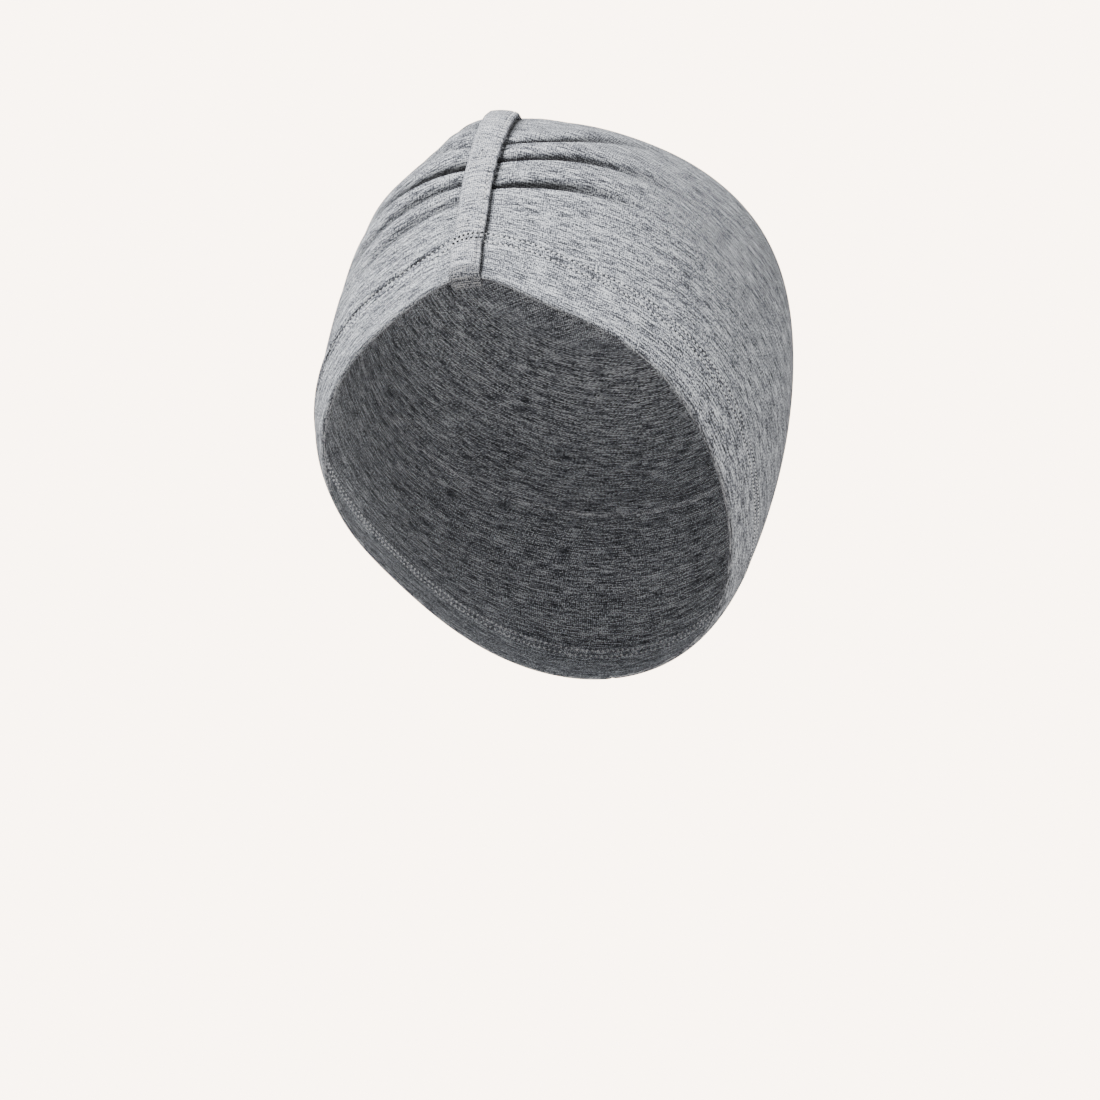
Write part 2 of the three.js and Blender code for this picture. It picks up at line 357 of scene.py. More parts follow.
def folds(climb, across):
    """How far the folds' grooves sink, how far the cloth swells between them, and their painted shade."""
    out = np.abs(across)
    sunk = np.zeros_like(out)
    swollen = np.zeros_like(out)
    shade = np.zeros_like(out)
    for side, start, end, bend, fold_reach, depth, width, widening, dark in FOLDS:
        far = out / (fold_reach * MM)
        centre = (start + (end - start) * np.minimum(far, 1) ** bend) * MM
        above = (climb - centre) / (width * MM * (1 + widening * far))
        held = np.where(across * side > 0, 1 - smooth_step(far, FOLD_HOLD, 1), 0)
        strength = depth * MM * held
        sunk += strength * bell(above, np.where(above < 0, LIP_SPREAD, FLANK_SPREAD))
        swollen += SWELL_SHARE * strength * bell(above - SWELL_PLACE, SWELL_SPREAD)
        shade = np.maximum(shade, dark * held * smooth_band(above, *SHADE_SPAN))
    return sunk, swollen, shade


def puckers(climb, across):
    """Height of the puckers right beside the strap."""
    near = np.clip(1 - np.abs(across) / PUCKER_REACH, 0, 1) ** PUCKER_FALL
    waves = np.sin(climb / PUCKER_PITCH * 2 * math.pi + PUCKER_SHIFT * np.sign(across))
    return PUCKER_HEIGHT * smooth_band(climb, *PUCKER_SPAN) * near * waves


def top_lift(climb, across):
    """How much higher or lower than the plain dome the crown stands near the top."""
    return np.interp(across / MM, TOP_PLACES, TOP_LIFTS) * MM * smooth_band(climb, *TOP_SPAN)


def strap_ridge(climb, across):
    """How far the crown rises to meet the strap's underside."""
    low = RIDGE_HEIGHT * smooth_step(climb, *RIDGE_STARTS) * (climb < STRAP_REACH)
    high = RIDGE_TOP * smooth_band(climb, *RIDGE_TOP_SPAN)
    return low * bell(across, RIDGE_SPREAD) + high * bell(across - RIDGE_TOP_PLACE, RIDGE_SPREAD)


def beside_shade(climb, across):
    """How dark the painted shade makes the crown right beside the strap."""
    on_left = across > 0
    spread = BESIDE_SPREAD + BESIDE_TOP * smooth_step(climb, *BESIDE_WIDENS) * on_left
    edge = bell(np.abs(across) - BESIDE_PLACE, spread) * (climb < STRAP_REACH)
    return np.where(on_left, *BESIDE_SHADES) * edge


def gathers(bearing, turn):
    """Height of the gathers over the plain dome, and the painted shade of each place from 0 to 1."""
    climb = climb_at(turn)
    across = dome_point(bearing, turn)[..., 0] - strap_offset(climb)
    out = np.abs(across)
    ahead = np.abs(bearing) < math.pi / 2
    sunk, swollen, shade = folds(climb, across)
    swollen = swollen + puckers(climb, across)
    height = swollen * smooth_step(out, *RIDGE_BEGINS) - sunk * smooth_step(out, *VALLEY_BEGINS)
    height = height + top_lift(climb, across) + strap_ridge(climb, across)
    return height * ahead, np.maximum(shade, beside_shade(climb, across)) * ahead


# How the sewn rows wander near the strap, in millimetres: how far to the wearer's left of the
# midline, and how far over or under their usual height they run there. The span is the stretch of
# heights over the rim that goes with them.
ROW_PLACES = (-70.0, -45.0, -36.0, -30.0, -24.0, -18.0, -12.0, -7.0,
              0.0, 7.0, 10.0, 16.0, 20.0, 28.0, 42.0, 60.0)
ROW_DRIFTS = (0.0, 0.2, 0.0, -0.5, -1.3, -2.0, -2.9, -1.6,
              -1.6, -1.6, -1.3, -0.2, 0.9, 1.2, 0.7, 0.0)
ROW_SPAN = (4 * MM, 15 * MM, 22 * MM, 32 * MM)

# How far the crown steps down over the hem, where it is no longer doubled, and the heights over the
# upper row between which it does.
HEM_STEP = 0.35 * MM
HEM_STEP_SPAN = (-0.5 * MM, 2.5 * MM)

# How the crown is drawn in along the rows, and how dark the painted shade makes it there: for the
# upper and the lower row, how dark on the wearer's right of the strap, where the crown bulges, and
# how dark elsewhere.
# The sample is the height over a row in which its slope is measured.
ROW_DRAW = 0.4 * MM
ROW_SPREAD = 0.6 * MM
ROW_SHADES = ((0.9, 0.25), (0.1, 0.25))
ROW_SHADE_SPREAD = 0.65 * MM
ROW_SAMPLE = 1 * MM

# The bulge over the upper row on the wearer's right: its height, how far over the row its middle
# lies, how far it spreads, and the bearings between which it runs, in radians.
BULGE_HEIGHT = 0.9 * MM
BULGE_PLACE = 1.6 * MM
BULGE_SPREAD = 1.1 * MM
BULGE_SPAN = (0.08, 0.25, 1.3, 1.9)

# The painted shade of the roll under the rim, and the heights over the rim between which it fades out.
RIM_SHADE = 0.45
RIM_SHADE_ENDS = (0.2 * MM, 1.4 * MM)

# The groove of the centre seam, which runs over the top and down the back.
SEAM_DEPTH = 0.5 * MM
SEAM_SPREAD = 0.7 * MM


def row_turn(bearing, height):
    """Turn of a place near the sewn rows, given its height over the rim where they run straight."""
    across = dome_point(bearing, rim_turn(bearing))[..., 0]
    drift = np.interp(across / MM, ROW_PLACES, ROW_DRIFTS) * MM * (np.abs(bearing) < math.pi / 2)
    return turn_over_rim(bearing, height + drift * smooth_band(height, *ROW_SPAN))


def right_side(bearing):
    """1 on the wearer's right of the strap, as far back as the temple, and 0 elsewhere, smooth between."""
    return smooth_band(-bearing, *BULGE_SPAN)


def relief(bearing, turn, sizes):
    """Height of the finished cloth over the plain dome: gathers, doubled hem, sewn rows, centre seam."""
    height = gathers(bearing, turn)[0]
    upper = row_turn(bearing, sizes.upper_row)
    lower = row_turn(bearing, sizes.lower_row)
    metres_per_turn = (sizes.upper_row - sizes.lower_row) / (upper - lower)
    over_upper = (turn - upper) * metres_per_turn
    over_lower = (turn - lower) * metres_per_turn
    height -= HEM_STEP * smooth_step(over_upper, *HEM_STEP_SPAN)
    height += BULGE_HEIGHT * right_side(bearing) * bell(over_upper - BULGE_PLACE, BULGE_SPREAD)
    height -= ROW_DRAW * bell(over_upper, ROW_SPREAD)
    height -= ROW_DRAW * bell(over_lower, ROW_SPREAD)
    behind = (np.abs(bearing) > math.pi / 2) | (climb_at(turn) > STRAP_REACH)
    height -= SEAM_DEPTH * bell(dome_point(bearing, turn)[..., 0], SEAM_SPREAD) * behind
    return height


def cloth_shade(bearing, turn, sizes):
    """Painted shade of the outer face from 0 to 1: in the gathers, beside the strap, along the sewn rows."""
    shade = gathers(bearing, turn)[1]
    for row, (bulging, elsewhere) in zip((sizes.upper_row, sizes.lower_row), ROW_SHADES):
        over = row_turn(bearing, row)
        away = (turn - over) * ROW_SAMPLE / (row_turn(bearing, row + ROW_SAMPLE) - over)
        dark = elsewhere + (bulging - elsewhere) * right_side(bearing)
        shade = np.maximum(shade, dark * bell(away, ROW_SHADE_SPREAD))
    return shade


def cap_point(bearing, turn, inward, sizes):
    """Points of the finished cloth."""
    return dome_point(bearing, turn, inward - relief(bearing, turn, sizes)) - SEAT


# ---------------------------------------------------------------------------------------------
# Meshes
# ---------------------------------------------------------------------------------------------

def ring_faces(rows, columns, joins):
    """Corners of the four-sided faces between rings, and the row and column of each corner on the cloth."""
    row = np.arange(joins)[:, None]
    column = np.arange(columns)[None, :]
    after = (row + 1) % rows
    corners = ((row, column), (row, column + 1), (after, column + 1), (after, column))
    quads = np.stack([r * columns + c % columns for r, c in corners], -1)
    places = np.stack([np.stack(np.broadcast_arrays(r, c), -1) for r, c in corners], 2)
    return quads.ravel(), places.reshape(-1, 2)


def filled_mesh(name, points, corners, counts, maps):
    """Smooth mesh from the corners of its faces, how many each face has, and a UV map for each name."""
    mesh = bpy.data.meshes.new(name)
    mesh.vertices.add(len(points))
    mesh.vertices.foreach_set("co", points.ravel())
    mesh.loops.add(len(corners))
    mesh.loops.foreach_set("vertex_index", corners)
    mesh.polygons.add(len(counts))
    mesh.polygons.foreach_set("loop_start", np.cumsum(counts) - counts)
    for map_name, places in maps.items():
        mesh.uv_layers.new(name=map_name).uv.foreach_set("vector", np.concatenate(places).ravel())
    mesh.update(calc_edges=True)
    mesh.polygons.foreach_set("use_smooth", np.ones(len(counts), bool))
    mesh.validate()
    return mesh


def cloth_mesh(name, rings, flats, tops, shut_start=False, shut_end=False, endless=False):
    """Closed mesh through rings of points, with two UV maps in metres.

    rings, flats and tops hold one row for each ring. flats and tops have one more column than rings,
    which repeats the first place at the end of its way round. A ring that is shut gets a fan of
    triangles round its middle.
    """
    rows, columns = rings.shape[:2]
    points = rings.reshape(-1, 3)
    joins = rows if endless else rows - 1
    quads, places = ring_faces(rows, columns, joins)
    corners = [quads]
    counts = [np.full(joins * columns, 4)]
    sources = {"Cloth": flats, "Top": tops}
    maps = {key: [source[places[:, 0], places[:, 1]]] for key, source in sources.items()}
    for shut, ring, forward in ((shut_start, 0, False), (shut_end, rows - 1, True)):
        if not shut:
            continue
        middle = np.full(columns, len(points))
        points = np.vstack([points, rings[ring].mean(0)])
        here = ring * columns + np.arange(columns)
        following = ring * columns + (np.arange(columns) + 1) % columns
        order = [here, following] if forward else [following, here]
        corners.append(np.stack(order + [middle], -1).ravel())
        counts.append(np.full(columns, 3))
        for key, source in sources.items():
            near = source[ring, :-1]
            far = source[ring, 1:]
            pair = [near, far] if forward else [far, near]
            maps[key].append(np.stack(pair + [(near + far) / 2], 1).reshape(-1, 2))
    return filled_mesh(name, points, np.concatenate(corners), np.concatenate(counts), maps)


def unrolled(points, front, up):
    """UV in metres: along each ring from its front column, and up through the rings."""
    steps = np.linalg.norm(np.diff(points, axis=1), axis=2)
    along = np.concatenate([np.zeros((len(points), 1)), np.cumsum(steps, axis=1)], axis=1)
    return np.stack(np.broadcast_arrays(along - along[:, front:front + 1], up), -1)


def piece(name, mesh, material):
    """Object of one piece of the cap, riding on the cap's body."""
    thing = bpy.data.objects.new(name, mesh)
    bpy.context.collection.objects.link(thing)
    mesh.materials.append(material)
    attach(thing, BODY)
    return thing


# Columns of the cloth round the cap, and how far they crowd together at the front and the back.
COLUMNS = 288
COLUMN_CROWDING = 0.62

# Heights of the rows of cloth near the rim and the sewn rows, in millimetres. From the even height up
# the rows no longer follow the rim, but close in evenly on the pole.
RIM_HEIGHTS = (1.6, 3, 5, 7.5, 10, 12.5, 14.5, 15.4, 16, 16.4, 16.8, 17.2, 17.7, 18.3, 18.8, 19.2, 19.6, 20,
               20.4, 20.9, 21.5, 22.3)
EVEN_HEIGHT = 23 * MM
POLE_HEIGHT = MIDLINE_LENGTHS[-1] - RIM_FRONT_LENGTH

# The stretches of rows over those: from which height to which, and how many finest steps apart. The
# rows near the pole come after them, and the gap is what the last one leaves to it.
STRETCHES = (
    # from to steps
    (EVEN_HEIGHT, 30 * MM, 1.5),
    (30 * MM, 72 * MM, 1.0),
    (72 * MM, 110 * MM, 1.6),
)
TOP_RING_GAP = 1 * MM

# Up to how high the courses of the knit still follow the rim a little, and the height at the rim over
# which their slope is measured.
COURSES_EVEN = 60 * MM
COURSE_SAMPLE = 6 * MM

# The finest step between rows and the number of rows near the pole, outside and inside, and the
# points round the roll under the rim and round the hem's raw edge.
OUTER_STEP = 0.44 * MM
OUTER_TOP_ROWS = 26
INNER_STEP = 1.0 * MM
INNER_TOP_ROWS = 16
ROLL_POINTS = 11
EDGE_POINTS = 9

# How far over the crown's roll the hem starts, and the turns between which the cloth's pattern
# changes over from the unrolled UV map to the one seen from the top.
HEM_LIFT = 0.1 * MM
TOP_MAP_BEGINS = (64 * DEGREE, 72 * DEGREE)


def column_bearings(closed=False):
    """Bearings from the back round to the back again, closest together at the front and the back."""
    share = np.linspace(-1, 1, COLUMNS + 1)
    bearings = math.pi * share - COLUMN_CROWDING / 2 * np.sin(2 * math.pi * share)
    return bearings if closed else bearings[:-1]


def turn_at_height(bearing, height):
    """Turn of a row of the knit: it follows the rim low down, and runs even with the pole higher up."""
    even = row_turn(bearing, EVEN_HEIGHT)
    start = turn_at(EVEN_HEIGHT)
    share = (turn_at(height) - start) / (POLE_TURN - start)
    return np.where(height <= EVEN_HEIGHT, row_turn(bearing, height), even + (POLE_TURN - even) * share)


def course_height(bearing, turn):
    """How far up the cloth a course of the knit lies: along the rim low down, and evenly higher up."""
    rim = rim_turn(bearing)
    over = (turn - rim) * COURSE_SAMPLE / (turn_over_rim(bearing, COURSE_SAMPLE) - rim)
    return over + (climb_at(turn) - over) * np.clip(over / COURSES_EVEN, 0, 1)


def row_heights(first, step, top_rows):
    """Heights of rows of cloth from low to high, closest together where the gathers are."""
    heights = [first] + [h * MM for h in RIM_HEIGHTS if h * MM > first]
    for start, end, steps in STRETCHES:
        heights += list(np.arange(start, end, steps * step))
    return np.array(heights + list(np.linspace(end, POLE_HEIGHT - TOP_RING_GAP, top_rows)))


def over_top(places):
    """UV map of places round the pole of the dome, as seen along its axis."""
    ahead = places[..., 2] * math.sin(DOME_TILT) - places[..., 1] * math.cos(DOME_TILT)
    return np.stack([places[..., 0], ahead], axis=-1)


def cloth_rings(heights, inwards, sizes):
    """Rings of finished cloth, their two UV maps, and the turn and the painted shade of each vertex."""
    heights = np.asarray(heights)[:, None]
    inwards = np.asarray(inwards)[:, None]
    bearings = column_bearings(closed=True)[None, :]
    turns = turn_at_height(bearings, heights)
    plain = dome_point(bearings, turns, inwards)
    finished = cap_point(bearings, turns, inwards, sizes)[:, :-1]
    path = np.hypot(np.diff(heights, axis=0, prepend=heights[:1]), np.diff(inwards, axis=0, prepend=0))
    path = np.cumsum(path, axis=0)
    turned = int(np.argmax(heights <= sizes.rim_roll))
    up = course_height(bearings, turns)
    up = np.where(path > path[turned], up[turned] + path[turned] - path, up)
    # Painted shade of the outer face, and of the roll under the rim.
    painted_shades = np.where(inwards > 0, 0, cloth_shade(bearings, turns, sizes))
    painted_shades = np.maximum(painted_shades, RIM_SHADE * (1 - smooth_step(heights, *RIM_SHADE_ENDS)))
    return finished, unrolled(plain, COLUMNS // 2, up), over_top(plain), turns[:, :-1], painted_shades[:, :-1]


def mark(mesh, name, values):
    """Keeps a value for each vertex of the rings; the middles of fans get the value of their ring."""
    values = np.concatenate([values.ravel(), values[[0, -1], 0]])[:len(mesh.vertices)]
    mesh.attributes.new(name, "FLOAT", "POINT").data.foreach_set("value", values)


def mark_cloth(mesh, turns, painted_shades):
    """Marks how near each vertex is to the pole, where the UV map changes, and its painted shade."""
    mark(mesh, "top", smooth_step(turns, *TOP_MAP_BEGINS))
    mark(mesh, "painted_shade", painted_shades)


def crown_mesh(sizes):
    """The crown: its outer face, the roll of cloth under the rim and its inner face."""
    outer = row_heights(sizes.rim_roll, OUTER_STEP, OUTER_TOP_ROWS)[::-1]
    inner = row_heights(sizes.rim_roll, INNER_STEP, INNER_TOP_ROWS)
    angles = np.linspace(0, math.pi, ROLL_POINTS)
    tight = sizes.rim_roll - sizes.ply
    heights = np.concatenate([
        outer[:-1],
        sizes.rim_roll * (1 - np.sin(angles)),
        sizes.rim_roll - tight * np.sin(angles[::-2]),
        inner[1:],
    ])
    inwards = np.concatenate([
        np.zeros(len(outer) - 1),
        sizes.rim_roll * (1 - np.cos(angles)),
        sizes.rim_roll - tight * np.cos(angles[::-2]),
        np.full(len(inner) - 1, sizes.ply),
    ])
    rings, flats, tops, turns, painted_shades = cloth_rings(heights, inwards, sizes)
    mesh = cloth_mesh("crown_cloth", rings, flats, tops, shut_start=True, shut_end=True)
    mark_cloth(mesh, turns, painted_shades)
    return mesh


def hem_mesh(sizes):
    """The hem: the edge of the cloth turned up inside the crown, its raw edge rounded."""
    outside = 2 * sizes.rim_roll - sizes.ply
    bottom = sizes.rim_roll + HEM_LIFT
    half = sizes.ply / 2
    top = sizes.hem_depth - half
    rises = np.array([bottom] + [h * MM for h in RIM_HEIGHTS if bottom < h * MM < top] + [top])
    angles = np.linspace(0, math.pi, EDGE_POINTS)[1:-1]
    heights = np.concatenate([rises, top + half * np.sin(angles), rises[::-1]])
    inwards = np.concatenate([
        np.full(len(rises), outside),
        outside + half * (1 - np.cos(angles)),
        np.full(len(rises), outside + sizes.ply),
    ])
    rings, flats, tops, turns, painted_shades = cloth_rings(heights, inwards, sizes)
    mesh = cloth_mesh("hem_cloth", rings, flats, tops, endless=True)
    mark_cloth(mesh, turns, painted_shades)
    return mesh


# ---------------------------------------------------------------------------------------------
# The strap
# ---------------------------------------------------------------------------------------------

# The strap's tail inside the hem, the spacing of its sections, and its bend under the rim.
STRAP_TAIL = 20 * MM
STRAP_STEP = 0.5 * MM
STRAP_BEND = 1.15 * MM
BEND_POINTS = 21

# The strap's section: the radius of its corners as a share of half its thickness, and the points on
# a corner, on its outer face and on its inner face.
CORNER_SHARE = 0.9
CORNER_POINTS = 6
OUTER_POINTS = 35
INNER_POINTS = 9

# The two rows of stitches across the strap: how far up it they lie, and how much they slant.
CROSS_ROWS = (13.3 * MM, 15.2 * MM)
CROSS_SLANT = math.tan(7 * DEGREE)

# Over the upper stretch the strap tips, its edge on the wearer's left sinking and the other one
# standing off the crown, and all of it rises a little. Its last stretch sinks into the crown, and
# at its very end it loses a share of its thickness.
TIP_BEGINS = (45 * MM, 75 * MM)
STRAP_TIP = math.tan(11.5 * DEGREE)
STRAP_RISE = 0.75 * MM
STRAP_SINK = 1.4 * MM
SINK_LENGTH = 4 * MM
END_LENGTH = 1.5 * MM
END_LOSS = 0.6

# The relief of the strap's outer face: how much its middle stands out, the grooves along its
# topstitching and its cross rows, and the waves of cloth drawn up by the thread.
STRAP_CROWN = 0.35 * MM
GROOVE_DEPTH = 0.3 * MM
GROOVE_SPREAD = 0.55 * MM
CROSS_SPREAD = 0.8 * MM
WAVE_HEIGHT = 0.12 * MM
WAVE_LENGTH = 9 * MM
WAVE_FALL = 1.3

# The strap's painted shade: in the groove of its topstitching, at its edges, and round its foot at the rim.
GROOVE_SHADE = 0.6
GROOVE_SHADE_SPREAD = 0.4 * MM
STRAP_EDGE_SHADE = 0.7
STRAP_EDGE_WIDTH = 0.3 * MM
FOOT_SHADE = 0.55
FOOT_SPAN = (-4 * MM, -1 * MM, 1.6 * MM, 3.4 * MM)


def strap_route(sizes):
    """Heights, inward places and leans of the strap's middle, from its tail inside up to its end."""
    outside = -sizes.strap_gap - sizes.strap_thickness / 2
    inside = 2 * sizes.rim_roll + sizes.ply / 2 + 2 * sizes.strap_gap + sizes.strap_thickness / 2
    low = sizes.strap_gap + sizes.strap_thickness / 2
    angles = np.linspace(0, math.pi, BEND_POINTS)
    centres = np.where(angles < math.pi / 2, inside - STRAP_BEND, outside + STRAP_BEND)
    tail = np.arange(STRAP_TAIL, RIM_NOTCH + STRAP_STEP / 2, -STRAP_STEP)
    front = np.arange(RIM_NOTCH + STRAP_STEP, STRAP_REACH, STRAP_STEP)
    bends = RIM_NOTCH + STRAP_BEND - low - STRAP_BEND * np.sin(angles)
    heights = np.concatenate([tail, bends, front])
    inwards = np.concatenate([
        np.full(len(tail), inside),
        centres + STRAP_BEND * np.cos(angles),
        np.full(len(front), outside),
    ])
    leans = np.concatenate([np.zeros(len(tail)), angles, np.full(len(front), math.pi)])
    return heights, inwards, leans


def strap_section(sizes):
    """Places round the strap's section: how far across, and how far out from the middle of its loop."""
    half = sizes.strap_width / 2
    thick = sizes.strap_thickness / 2
    corner = CORNER_SHARE * thick
    flat = half - corner
    bends = np.linspace(0, math.pi / 2, CORNER_POINTS)
    quarter = [(flat + corner * math.sin(b), thick - corner + corner * math.cos(b)) for b in bends]
    outer = [(x, thick) for x in np.linspace(-flat, flat, OUTER_POINTS)[1:-1]]
    right = quarter + [(x, -out) for x, out in quarter[::-1]]
    inner = [(x, -thick) for x in np.linspace(flat, -flat, INNER_POINTS)[1:-1]]
    left = [(-x, out) for x, out in right[::-1]]
    return np.array(outer + right + inner + left)


def strap_point(across, height, inward):
    """Point of the strap over the plain dome, following the rim's peak across its width.

    Towards its end the strap tips, and its last stretch sinks into the crown.
    """
    turn = turn_at(height)
    inward = inward + (across * STRAP_TIP - STRAP_RISE) * smooth_step(height, *TIP_BEGINS)
    inward = inward + STRAP_SINK * smooth_step(height, STRAP_REACH - SINK_LENGTH, STRAP_REACH)
    across = across + strap_offset(height)
    bearing = across / (reach(0.0, turn) * np.cos(turn))
    return dome_point(bearing, turn + even_rim_turn(bearing) - RIM_FRONT, inward) - SEAT


def strap_relief(across, along, sizes):
    """Height of the strap's outer face: a low crown, the groove of its topstitching and its cross rows."""
    half = sizes.strap_width / 2
    crowned = STRAP_CROWN * (1 - (across / half) ** 2)
    groove = GROOVE_DEPTH * bell(across - half + sizes.strap_margin, GROOVE_SPREAD)
    pulled = 0.0
    for row in CROSS_ROWS:
        pulled = pulled + GROOVE_DEPTH * bell(along - row - CROSS_SLANT * across, CROSS_SPREAD)
    waves = np.sin(along / WAVE_LENGTH * 2 * math.pi) * np.cos(across / half * WAVE_FALL)
    return crowned - groove - pulled + WAVE_HEIGHT * waves


def strap_mesh(sizes):
    """The strap: its section carried along its route, crowned and grooved on its outer face."""
    heights, inwards, leans = (line[:, None] for line in strap_route(sizes))
    across, out = strap_section(sizes).T[:, None, :]
    facing = smooth_step(out, 0, sizes.strap_thickness / 2)
    along = np.where(leans > math.pi / 2, heights, -heights)
    out = out + facing * strap_relief(across, along, sizes)
    out = out * (1 - END_LOSS * smooth_step(heights, STRAP_REACH - END_LENGTH, STRAP_REACH))
    places = np.broadcast_arrays(across, heights - out * np.sin(leans), inwards + out * np.cos(leans))
    rings = strap_point(*places)
    closed = np.concatenate([rings, rings[:, :1]], axis=1)
    steps = np.linalg.norm(np.diff(rings[:, :1], axis=0), axis=2)
    up = np.concatenate([[[0.0]], np.cumsum(steps, axis=0)])
    flats = unrolled(closed, 0, up)
    mesh = cloth_mesh("strap_cloth", rings, flats, flats, shut_start=True, shut_end=True)
    half = sizes.strap_width / 2
    # Painted shade in the groove, on the sides and round the foot of the strap.
    groove = GROOVE_SHADE * facing * bell(across - half + sizes.strap_margin, GROOVE_SHADE_SPREAD)
    edges = STRAP_EDGE_SHADE * smooth_step(np.abs(across), half - STRAP_EDGE_WIDTH, half) * (1 - facing)
    foot = FOOT_SHADE * smooth_band(along, *FOOT_SPAN) * facing
    mark(mesh, "painted_shade", np.maximum(np.maximum(groove, edges), foot))
    return mesh


# ---------------------------------------------------------------------------------------------
# Nodes
# ---------------------------------------------------------------------------------------------

def feed(tree, node, inputs):
    """Gives a node's inputs their values, or links them to the outputs of other nodes."""
    for name, given in inputs.items():
        if isinstance(given, bpy.types.NodeSocket):
            tree.links.new(given, node.inputs[name])
        else:
            node.inputs[name].default_value = given


def added(tree, kind, inputs=None, **settings):
    """A new node with its settings and inputs."""
    node = tree.nodes.new(kind)
    for name, value in settings.items():
        setattr(node, name, value)
    feed(tree, node, inputs or {})
    return node


def worked_out(tree, operation, *values):
    """Output of a new Math node."""
    return added(tree, "ShaderNodeMath", dict(enumerate(values)), operation=operation).outputs[0]


# ---------------------------------------------------------------------------------------------
# Stitches
# ---------------------------------------------------------------------------------------------

# The seed of the stitches' stray angles, how far they stray, and the sides and rings of a stitch.
STITCH_SEED = 7
STRAY = 5 * DEGREE
BEAD_SIDES = 8
BEAD_RINGS = 6

# How much deeper the stitches and the beads of painted needle-hole shade of the upper and the lower row
# lie on the wearer's right, under the bulge, how deep those beads lie all round, how far inward of the
# hem's inner face the thread inside lies and how much its stitches slant, and the points on each row.
STITCH_SINKS = (0.22 * MM, 0.1 * MM)
HOLE_SINKS = (0.0, 0.22 * MM)
HOLE_DEPTH = 0.1 * MM
INSIDE_LIFT = 0.1 * MM
INSIDE_SLANT = 35 * DEGREE
HEM_LINE_POINTS = 720

# How far up the strap its topstitching starts and ends, how far the cross rows stop short of the
# strap's edges, the points on each, and how far their stitches and beads of painted hole shade stand
# off the strap.
TOPSTITCH_START = CROSS_ROWS[1] + 2 * MM
TOPSTITCH_END = STRAP_REACH - 1.5 * MM
CROSS_INSET = 0.4 * MM
CROSS_POINTS = 24
CROSS_RAISED = 0.05 * MM
SLIT_RAISED = 0.3 * MM


def stitch_tree():
    """Geometry Nodes tree that lays one rounded stitch of thread at every pitch along its lines."""
    tree = bpy.data.node_groups.new("Stitches", "GeometryNodeTree")
    face = tree.interface
    face.new_socket("Geometry", in_out="INPUT", socket_type="NodeSocketGeometry")
    for name, default in (("Pitch", 1.9 * MM), ("Stitch Length", 1.0 * MM), ("Thread", 0.33 * MM)):
        socket = face.new_socket(name, in_out="INPUT", socket_type="NodeSocketFloat")
        socket.subtype = "DISTANCE"
        socket.default_value = default
        socket.min_value = 0.01 * MM
    slant = face.new_socket("Slant", in_out="INPUT", socket_type="NodeSocketFloat")
    slant.subtype = "ANGLE"
    slant.default_value = 0.0
    seed = face.new_socket("Seed", in_out="INPUT", socket_type="NodeSocketInt")
    seed.default_value = STITCH_SEED
    face.new_socket("Material", in_out="INPUT", socket_type="NodeSocketMaterial")
    face.new_socket("Geometry", in_out="OUTPUT", socket_type="NodeSocketGeometry")
    given = tree.nodes.new("NodeGroupInput").outputs

    line = added(tree, "GeometryNodeMeshToCurve", {"Mesh": given["Geometry"]})
    route = {"Curve": line.outputs["Curve"], "Length": given["Pitch"]}
    places = added(tree, "GeometryNodeCurveToPoints", route, mode="LENGTH")

    ball = {"Segments": BEAD_SIDES, "Rings": BEAD_RINGS, "Radius": 1.0}
    bead = added(tree, "GeometryNodeMeshUVSphere", ball)
    smooth = added(tree, "GeometryNodeSetShadeSmooth", {"Geometry": bead.outputs["Mesh"]})
    half = worked_out(tree, "MULTIPLY", given["Stitch Length"], 0.5)
    girth = added(tree, "ShaderNodeCombineXYZ", {"X": given["Thread"], "Y": given["Thread"], "Z": half})
    drawn = {"Geometry": smooth.outputs["Geometry"], "Scale": girth.outputs["Vector"]}
    stitch = added(tree, "GeometryNodeTransform", drawn)

    outward = added(tree, "GeometryNodeInputNamedAttribute", {"Name": "outward"}, data_type="FLOAT_VECTOR")
    ahead = added(tree, "FunctionNodeAlignRotationToVector", {"Vector": places.outputs["Tangent"]}, axis="Z")
    facing = {"Rotation": ahead.outputs["Rotation"], "Vector": outward.outputs["Attribute"]}
    lying = added(tree, "FunctionNodeAlignRotationToVector", facing, axis="X", pivot_axis="Z")

    index = tree.nodes.new("GeometryNodeInputIndex").outputs["Index"]
    sign = worked_out(tree, "MULTIPLY_ADD", worked_out(tree, "MODULO", index, 2.0), -2.0, 1.0)
    spread = {"Min": -STRAY, "Max": STRAY, "Seed": given["Seed"]}
    stray = added(tree, "FunctionNodeRandomValue", spread, data_type="FLOAT")
    angle = worked_out(tree, "MULTIPLY_ADD", sign, given["Slant"], stray.outputs["Value"])
    swing = added(tree, "FunctionNodeAxisAngleToRotation", {"Axis": (1, 0, 0), "Angle": angle})
    turns = {"Rotation": lying.outputs["Rotation"], "Rotate By": swing.outputs["Rotation"]}
    turned = added(tree, "FunctionNodeRotateRotation", turns, rotation_space="LOCAL")

    laid = {"Points": places.outputs["Points"], "Instance": stitch.outputs["Geometry"],
            "Rotation": turned.outputs["Rotation"]}
    sewn = added(tree, "GeometryNodeInstanceOnPoints", laid)
    real = added(tree, "GeometryNodeRealizeInstances", {"Geometry": sewn.outputs["Instances"]})
    covered = {"Geometry": real.outputs["Geometry"], "Material": given["Material"]}
    painted = added(tree, "GeometryNodeSetMaterial", covered)
    added(tree, "NodeGroupOutput", {"Geometry": painted.outputs["Geometry"]})
    return tree


